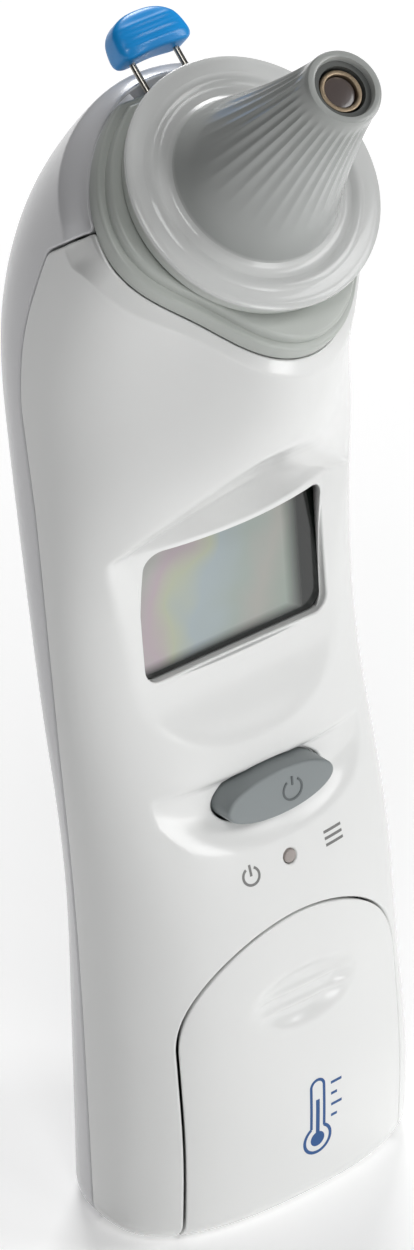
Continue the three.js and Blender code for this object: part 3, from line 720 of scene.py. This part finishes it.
def clip(values, room):
    """Cuts a grid of values where room changes sign. Gives the kept values, the faces and the cut loops."""
    rows, columns = room.shape
    kept = room > 0
    index = np.full(room.shape, -1)
    index[kept] = np.arange(kept.sum())
    points = [values[kept]]
    extra, found = [], {}
    whole = kept[:-1, :-1] & kept[:-1, 1:] & kept[1:, 1:] & kept[1:, :-1]
    some = (kept[:-1, :-1] | kept[:-1, 1:] | kept[1:, 1:] | kept[1:, :-1]) & ~whole
    r, c = np.nonzero(whole)
    faces = np.stack([index[r, c], index[r, c + 1], index[r + 1, c + 1], index[r + 1, c]], axis=1).tolist()
    following = {}

    def crossing(a, b):
        key = (a, b) if a < b else (b, a)
        if key not in found:
            share = room[key[0]] / (room[key[0]] - room[key[1]])
            extra.append(values[key[0]] * (1 - share) + values[key[1]] * share)
            found[key] = int(kept.sum()) + len(extra) - 1
        return found[key]

    for r, c in zip(*np.nonzero(some)):
        corners = [(r, c), (r, c + 1), (r + 1, c + 1), (r + 1, c)]
        face, left, entered, first = [], None, [], None
        for i in range(4):
            here, there = corners[i], corners[(i + 1) % 4]
            if kept[here]:
                face.append(int(index[here]))
            if kept[here] != kept[there]:
                cut = crossing(here, there)
                face.append(cut)
                if kept[here]:
                    left = cut
                elif left is None:
                    first = cut
                else:
                    following[left] = cut
                    left = None
        if left is not None and first is not None:
            following[left] = first
        faces.append(face)
    if extra:
        points.append(np.array(extra))
    loops = []
    while following:
        start, here = following.popitem()
        loop = [start, here]
        while here in following:
            here = following.pop(here)
            loop.append(here)
        if loop[0] == loop[-1]:
            loops.append(loop[:-1])
    return np.concatenate(points), faces, loops


def towards_probe_axis(points, distance):
    local = to_probe(points)
    radius = np.hypot(local[:, 0], local[:, 1])
    local[:, 0:2] *= (1 - distance / radius)[:, None]
    return from_probe(local)


def unit(vectors):
    return vectors / np.maximum(np.linalg.norm(vectors, axis=-1, keepdims=True), 1e-9)


def case_piece(angles, step, bottom_y, room, edge=EDGE, depth=WALL, top=None):
    """A trimmed piece of the case with thickness and rounded edges, as (points, faces, normals)."""
    base = case_grid(angles, step, bottom_y, top)
    inner = base - depth * grid_normals(base)
    outer = carve(base)
    normals = grid_normals(outer)
    value, outward = room_slope(room, outer, normals)
    values = np.concatenate([outer, normals, inner, outward], axis=-1)
    sheet, faces, loops = clip(values, value - edge)
    position, normal, inside, out = sheet[:, 0:3], unit(sheet[:, 3:6]), sheet[:, 6:9], unit(sheet[:, 9:12])
    count = len(sheet)
    points, ways = [position, inside], [normal, -normal]
    every = [tuple(face) for face in faces] + [tuple(i + count for i in face[::-1]) for face in faces]
    start = 2 * count
    turns = [math.pi / 2 * k / 4 for k in range(1, 5)]
    for loop in loops:
        loop = np.array(loop)
        size = len(loop)
        p, n, t = position[loop], normal[loop], out[loop]
        rows = [p + edge * (math.sin(a) * t - (1 - math.cos(a)) * n) for a in turns]
        aims = [math.cos(a) * n + math.sin(a) * t for a in turns]
        at_head = (before_head_face(p) < 1.0)[:, None]
        rim = p + edge * t
        rows.append(np.where(at_head, towards_probe_axis(rim, HEAD_ANNULUS), rim - depth * n))
        aims.append(t)
        points += rows
        ways += aims
        lines = [loop] + [np.arange(size) + start + size * i for i in range(len(rows))] + [loop + count]
        start += size * len(rows)
        for near, far in zip(lines[:-1], lines[1:]):
            for k in range(size):
                m = (k + 1) % size
                every.append((int(near[m]), int(near[k]), int(far[k]), int(far[m])))
    return np.concatenate(points), every, np.concatenate(ways)


FRONT_ANGLES = even_angles(-math.pi - 0.55, 0.55, FRONT_STEP, 9)
REAR_ANGLES = even_angles(-0.6, math.pi + 0.6, REAR_STEP["around"], 14)
DOOR_ANGLES = even_angles(-math.pi, 0, DOOR_STEP, 12)


def case_pieces():
    points, faces, normals = case_piece(FRONT_ANGLES, FRONT_STEP, 4.0, front_shell_room)
    shell = make("front_shell_skin", points, faces, "case_white", "case", ("front_shell",), normals)
    points, faces, normals = case_piece(REAR_ANGLES, REAR_STEP["along"], -3.0, rear_shell_room)
    make("rear_shell_skin", points, faces, "case_cool_white", "case", ("rear_shell",), normals)
    points, faces, normals = case_piece(DOOR_ANGLES, DOOR_STEP, 2.0, door_room, edge=0.2, top=48.0)
    door = make("battery_door_skin", points, faces, "case_white", "door", ("battery_door",), normals)
    return shell, door


# ---- Controls and display ----

def power_button():
    outline = oval(BUTTON["half_width"], BUTTON["half_height"], BUTTON["z"])
    post = plate(outline, 8.1, -BUTTON["front"], 0.2, 0.45, crown=0.12)
    reach = BUTTON["half_width"] + BUTTON["lip"], BUTTON["half_height"] + BUTTON["lip"]
    lip = plate(oval(*reach, BUTTON["z"]), 8.2, 9.0, 0.15, 0.15)
    stem = plate(oval(BUTTON["stem"], BUTTON["stem"], BUTTON["z"], 24), 5.6, 8.6, 0.1, 0.1)
    points, faces = joined(post, lip, stem)
    make("power_button_cap", upright(points), faces, "button_grey", "button", ("power_button",))


def arc_band(radius, width, start, stop, steps=24):
    """Outline of a band that follows an arc, angles in degrees."""
    angles = np.radians(np.linspace(start, stop, steps))
    outer = np.column_stack([(radius + width / 2) * np.cos(angles), (radius + width / 2) * np.sin(angles)])
    inner = np.column_stack([(radius - width / 2) * np.cos(angles), (radius - width / 2) * np.sin(angles)])
    return np.concatenate([outer, inner[::-1]])


def bar(half_width, half_height, x=0.0, z=0.0):
    return rounded([(x - half_width, z - half_height), (x + half_width, z - half_height),
                    (x + half_width, z + half_height), (x - half_width, z + half_height)],
                   min(half_width, half_height) * 0.6, 4)


def power_mark():
    """The power symbol on the button."""
    x, z, top = 1.6, BUTTON["z"] - 0.1, -BUTTON["front"] + 0.1
    ring = arc_band(1.45, 0.28, 125, 415, 36) + (x, z)
    stroke = bar(0.14, 0.62, x, z + 1.2)
    thick = 0.08
    points, faces = joined(flat_band(ring, top - 0.3, top + thick), plate(stroke, top - 0.3, top + thick))
    make("power_mark", upright(points), faces, "button_grey", "button", material=BUTTON_MARK)


def flat_band(outline, low, high):
    """A thin solid from an outline made of two matching halves, such as an arc band."""
    count = len(outline)
    half = count // 2
    bottom = np.column_stack([outline, np.full(count, low)])
    top = np.column_stack([outline, np.full(count, high)])
    faces = []
    for k in range(half - 1):
        a, b, c, d = k, k + 1, count - 2 - k, count - 1 - k
        faces.append((a + count, b + count, c + count, d + count))
        faces.append((d, c, b, a))
    for k in range(count):
        n = (k + 1) % count
        faces.append((k, n, n + count, k + count))
    return np.concatenate([bottom, top]), faces


def display():
    half_width, half_height = DISPLAY["half_width"] - 0.1, DISPLAY["half_height"] - 0.1
    outline = rounded_rectangle(half_width, half_height, DISPLAY["corner"], DISPLAY["z"])
    points, faces = plate(outline, -DISPLAY["back"], -DISPLAY["front"], 0.05, 0.12)
    make("display_lens", upright(points), faces, "display_glass", "case", ("display_window",))


def indicator():
    outline = oval(LENS["radius"], LENS["radius"], LENS["z"], 40)
    points, faces = plate(outline, -LENS["back"], -LENS["front"], 0.1, 0.12, crown=0.08)
    make("indicator_dome", upright(points), faces, "lens_grey", "case", ("indicator_lens",))


def ground(piece):
    """A function that gives y of a piece's outside at (x, z)."""
    mesh = piece.data
    tree = BVHTree.FromPolygons([v.co / MM for v in mesh.vertices], [p.vertices[:] for p in mesh.polygons])

    def height(x, z):
        hit = tree.ray_cast(Vector((x, -60, z)), Vector((0, 1, 0)))[0]
        return hit.y
    return height


def printed(name, bands, piece, body, slot, material):
    """Thin marks that lie on a piece's outside. Each band is an outline made of two matching halves."""
    height = ground(piece)
    parts = []
    for outline in bands:
        points, faces = flat_band(outline, 0.0, 1.0)
        lifted = [(x, height(x, z) + (0.12 if level < 0.5 else -0.025), z) for x, z, level in points]
        parts.append((np.array(lifted), faces))
    points, faces = joined(*parts)
    make(name, points, faces, slot, body, material=material)


def strip(x0, z0, x1, z1, width, steps=8):
    """Outline of a straight stroke as two matching halves."""
    start, stop = np.array([x0, z0], float), np.array([x1, z1], float)
    along = (stop - start) / np.linalg.norm(stop - start)
    side = np.array([along[1], -along[0]]) * width / 2
    line = start + np.linspace(0, 1, steps)[:, None] * (stop - start)
    return np.concatenate([line + side, (line - side)[::-1]])


def pictograms(shell, door):
    """A ring with a stroke for measuring, a stack of three strokes for the memory, and a small thermometer."""
    x, z = -6.1, 51.7
    ring = arc_band(1.15, 0.34, 120, 420, 40) + (x, z)
    printed("measure_mark", [ring, strip(x, z, x, z + 1.5, 0.34)], shell, "case", "button_grey", PRINT_GREY)
    x, z = 7.2, 52.1
    rows = [strip(x - 1.5, z + k * 0.85, x + 1.5, z + k * 0.85, 0.36) for k in (-1, 0, 1)]
    printed("memory_mark", rows, shell, "case", "button_grey", PRINT_GREY)
    x, z = 1.2, 13.2
    tube = arc_band(1.05, 0.42, 0, 180, 18) + (x, z + 4.6)
    bulb = arc_band(2.1, 0.46, 120, 420, 44) + (x, z - 3.6)
    sides = [strip(x + s * 1.05, z + 4.6, x + s * 1.05, z - 1.8, 0.42, 14) for s in (-1, 1)]
    column = strip(x, z - 3.0, x, z + 2.6, 0.6, 14)
    disc = arc_band(0.56, 1.1, 0, 360, 40) + (x, z - 3.6)
    ticks = [strip(x + 2.2, z + 4.2 - k * 1.7, x + (4.0 if k % 2 == 0 else 3.2), z + 4.2 - k * 1.7, 0.4)
             for k in range(4)]
    bands = [tube, bulb, *sides, column, disc, *ticks]
    printed("thermometer_mark", bands, door, "door", "case_white", PRINT_BLUE)


# ---- The probe ----

def cone_radius(z):
    share = np.clip(1 - np.asarray(z, float) / CONE["length"], 0, 1)
    return CONE["tip"] + (CONE["base"] - CONE["tip"]) * share ** CONE["power"]


def probe_cover():
    """The thin cover: flange, raised ring, and a cone with flutes that fade towards its foot."""
    length = CONE["length"]
    outside = [(cone_radius(z), z) for z in np.linspace(1.1, length - 1.0, 46)]
    tip = [(cone_radius(length - 0.45) + 0.02, length - 0.5), (CONE["tip"] - 0.12, length - 0.12),
           (CONE["tip"] - 0.45, length), (CONE["tip"] - 0.9, length - 0.1), (3.7, length - 0.45)]
    inner_tip = [(3.68, length - 1.2), (3.9, length - 2.0)]
    inside = [(cone_radius(z) - CONE["wall"], z) for z in np.linspace(length - 2.4, 0.3, 14)]
    foot = [(CONE["base"] - CONE["wall"] + 0.2, -0.2), (CONE["base"] + 0.3, -0.5), (FLANGE_RADIUS - 0.3, -0.6)]
    rim = [(FLANGE_RADIUS - 0.08, -0.5), (FLANGE_RADIUS, -0.2), (FLANGE_RADIUS - 0.05, 0.12),
           (FLANGE_RADIUS - 0.3, 0.3)]
    swell = [(14.4 - 1.9 * k / 12, 0.38 + 0.32 * math.sin(math.pi * k / 12)) for k in range(13)]
    fillet = [(CONE["base"] + 0.35, 0.42), (CONE["base"] + 0.12, 0.6), (cone_radius(0.9) + 0.02, 0.85)]
    profile = np.array(foot + rim + [(15.6, 0.36)] + swell + fillet + outside + tip + inner_tip + inside)
    flutes = 32

    def fluted(angle, radius, height):
        rise = np.clip((height - 5.5) / 9.0, 0, 1) * np.clip((length - 1.6 - height) / 2.0, 0, 1)
        outer = radius > cone_radius(height) - 0.2
        wave = np.abs(np.cos(angle * flutes / 2)) ** 1.3
        return radius - np.where(outer & (height > 5), 0.2 * rise * wave, 0)

    points, faces = turned(profile, flutes * 10, fluted)
    make("probe_cover_film", from_probe(points), faces, "cover_film", "cover", ("probe_cover",))


def probe_collar():
    """The grey collar: a lower disc with a flat top, and a raised plateau that the ring lands on."""
    def disc(inset):
        angles = np.linspace(0, 2 * math.pi, 220, endpoint=False)
        radius = collar_radius(angles) - inset
        x, q = radius * np.cos(angles), radius * np.sin(angles)
        return np.column_stack([x, np.minimum(q, COLLAR["top"] - inset)])

    bore, plateau = COLLAR["bore"], disc(COLLAR["plateau_inset"])
    base = plate_with_bore(disc(0), bore, COLLAR["back"] - 0.2, COLLAR["step"], 0.45)
    raised = plate_with_bore(plateau, bore, COLLAR["step"] - 0.3, COLLAR["front"], 0.5)
    points, faces = joined(base, raised)
    make("probe_collar_ring", from_probe(points), faces, "collar_grey", "case", ("probe_collar",))


def plate_with_bore(outline, bore, low, high, edge, steps=5):
    """A plate with a round hole, its outer upper edge rounded."""
    inward = inward_normals(outline)
    around = np.arctan2(outline[:, 1], outline[:, 0])
    hole = np.column_stack([bore * np.cos(around), bore * np.sin(around)])
    rings = [(hole, low), (outline, low)]
    rings += [(outline + inward * shift, high - drop) for shift, drop in reversed(rounded_edge(edge, steps))]
    for share in (0.33, 0.66):
        rings.append((rings[-1][0] * (1 - share) + hole * share, high))
    rings.append((hole, high))
    count = len(outline)
    points = [np.column_stack([ring, np.full(count, height)]) for ring, height in rings]
    return np.concatenate(points), bands(len(rings), count, closed=True)


def turned_ring(name, inner, outer, back, front, edge, sides, slot, body, replaced):
    """A plain ring round the probe axis with rounded edges."""
    profile = rounded([(inner, back), (outer, back), (outer, front), (inner, front)], edge)
    points, faces = turned(profile, sides)
    make(name, from_probe(points), faces, slot, body, (replaced,))


def turned_pieces():
    turned_ring("ejector_ring_plate", RING["bore"], RING["radius"], RING["back"], RING["front"], 0.5, 120,
                "collar_grey", "ejector", "ejector_ring")
    turned_ring("waveguide_sleeve", TUBE["inner"], TUBE["outer"], TUBE["back"], TUBE["front"], 0.14, 64,
                "gilt", "case", "waveguide_tube")
    disc = oval(TUBE["inner"] - 0.1, TUBE["inner"] - 0.1, 0, 48)
    points, faces = plate(disc, TUBE["front"] - 1, TUBE["front"] - 0.5, 0.05, 0.1, crown=0.1)
    make("probe_window_lens", from_probe(points), faces, "infrared_window", "case", ("probe_window",))


def ejector_wires():
    """Two legs that run down from the cap, then forward to the back of the ring."""
    corner = [(WIRE["high"], WIRE["z"]), (WIRE["low"] + 2.2, WIRE["z"]), (WIRE["low"], WIRE["z"] + 0.5),
              (WIRE["low"], RING["back"] - 0.15)]
    bent = chaikin(corner)
    for side, end in ((-1, "left"), (1, "right")):
        path = np.column_stack([np.full(len(bent), side * WIRE["x"]), bent])
        points, faces = rod(path, WIRE["radius"])
        name = f"ejector_wire_{end}"
        make(name + "_rod", from_probe(points), faces, "steel", "ejector", (name,))


def ejector_cap():
    """The blue push cap: rounded, hollowed underneath, with ridges across its front for the thumb."""
    half, low, high = CAP["half_width"], CAP["low"], CAP["high"]
    middle, thick = (CAP["back"] + CAP["front"]) / 2, (CAP["front"] - CAP["back"]) / 2
    sides = 160
    to_edge = np.concatenate([np.arcsin(np.linspace(0, 0.95, 36) ** 2), np.linspace(1.2, math.pi / 2, 8)])
    turns = np.concatenate([to_edge, math.pi - to_edge[-2::-1]])

    def outline(angle):
        c, s = math.cos(angle), math.sin(angle)
        x = half * math.copysign(abs(c) ** 0.55, c)
        q = (low + high) / 2 + (high - low) / 2 * math.copysign(abs(s) ** 0.5, s)
        lift = (q - low) / (high - low)
        x *= 1 - 0.2 * max(lift, 0) ** 2.5
        q += 0.9 * (1 - (x / half) ** 2) * (1 - lift) ** 2 - 0.9 * (x / half) ** 2 * lift ** 2
        return x, q

    centre = np.array([0.0, (low + high) / 2 + 0.3])
    points = []
    for turn in turns:
        size = max(math.sin(turn), 0.0) ** 0.5
        bulge = math.copysign(abs(math.cos(turn)) ** 0.35, math.cos(turn))
        for k in range(sides):
            x, q = outline(2 * math.pi * k / sides)
            x, q = centre + (np.array([x, q]) - centre) * size
            lift = (q - low) / (high - low)
            front = -bulge
            lip = 0.45 * math.exp(-((lift - 0.06) / 0.08) ** 2)
            lean = thick * (1 - 0.25 * max(lift, 0) ** 2) - 0.35
            ridge = sum(math.exp(-((lift - at) / 0.06) ** 2) for at in (0.3, 0.5, 0.7))
            fade = max(0.0, 1 - (abs(x) / half / 0.92) ** 6)
            depth = middle + front * (lean + (lip + 0.13 * ridge * fade if front > 0 else 0))
            points.append((x, q, depth))
    faces = bands(len(turns), sides)
    make("ejector_cap_body", from_probe(np.array(points)), faces, "ejector_blue", "ejector", ("ejector_cap",))


# ---- Scene ----

def dress_frame():
    """Every CAD node that still shows takes the node material of its slot."""
    for part in frame["record"]["subparts"]:
        for place in frame["nodes"][part["node"]].material_slots:
            place.material = MATERIAL_OF_SLOT[part["material_slot"]]
    # The probe nozzle gets a dark grey that is partly painted shade inside the cover's tip.
    for place in frame["nodes"]["probe_nozzle"].material_slots:
        place.material = NOZZLE_GREY_PAINTED_SHADE


def placed(name, data):
    """A new object in the scene."""
    made = bpy.data.objects.new(name, data)
    bpy.context.scene.collection.objects.link(made)
    return made


def camera():
    azimuth, elevation, roll = (math.radians(value) for value in (36.119, 29.345, -4.297))
    target, distance = Vector((0, -1.8, 79.6)) * MM, 1.0
    towards = Vector((-math.sin(azimuth) * math.cos(elevation), -math.cos(azimuth) * math.cos(elevation),
                      math.sin(elevation)))
    right = Vector((math.cos(azimuth), -math.sin(azimuth), 0))
    up = towards.cross(right)
    tilted_right = math.cos(roll) * right + math.sin(roll) * up
    tilted_up = -math.sin(roll) * right + math.cos(roll) * up
    data = bpy.data.cameras.new("camera")
    data.sensor_fit = "VERTICAL"
    data.sensor_height = 36
    data.lens = 36 * 8066 / 1250
    data.clip_end = 20
    made = placed("camera", data)
    turn = Matrix((tilted_right, tilted_up, towards)).transposed().to_4x4()
    made.matrix_world = Matrix.Translation(target + towards * distance) @ turn
    bpy.context.scene.camera = made


def area_light(name, place, target, size, power):
    data = bpy.data.lights.new(name, "AREA")
    data.shape = "RECTANGLE"
    data.size, data.size_y = size
    data.energy = power
    made = placed(name, data)
    made.location = place
    made.rotation_euler = (Vector(target) - Vector(place)).to_track_quat("-Z", "Y").to_euler()


def studio():
    for name, place, size, power in (("front", (0.15, -1.25, 0.25), (0.4, 0.5), 3.7),
                                     ("left_above", (-0.45, -0.7, 1.1), (0.4, 0.5), 4.0),
                                     ("right_side", (0.66, -0.66, 0.55), (0.35, 0.5), 3.0),
                                     ("behind", (0.55, 0.65, 0.9), (0.4, 0.5), 8.0)):
        area_light(name, place, (0, 0, 0.09), size, power)
    world = bpy.data.worlds.new("world")
    world.use_nodes = True
    background = world.node_tree.nodes["Background"]
    background.inputs["Color"].default_value = (0.95, 0.97, 1.0, 1)
    background.inputs["Strength"].default_value = 0.02
    bpy.context.scene.world = world
    bpy.context.scene.view_settings.view_transform = "Standard"


def floor():
    made, tree, shader, place = start_material("floor_white")
    tint = ramp(tree, noise(tree, place, 3.0), (0.3, (0.9, 0.9, 0.9)), (0.7, (0.93, 0.93, 0.93)))
    tree.links.new(tint, shader.inputs["Base Color"])
    tree.links.new(tint, shader.inputs["Emission Color"])
    shader.inputs["Emission Strength"].default_value = 0.3
    shader.inputs["Roughness"].default_value = 0.9
    mesh = bpy.data.meshes.new("floor")
    mesh.from_pydata([(-6, -6, 0), (6, -6, 0), (6, 6, 0), (-6, 6, 0)], [], [(0, 1, 2, 3)])
    mesh.materials.append(made)
    ground_plane = placed("floor", mesh)
    ground_plane.location.z = -0.00005


camera()
dress_frame()
front_skin, door_skin = case_pieces()
power_button()
power_mark()
display()
indicator()
pictograms(front_skin, door_skin)
probe_cover()
probe_collar()
turned_pieces()
ejector_wires()
ejector_cap()
studio()
floor()
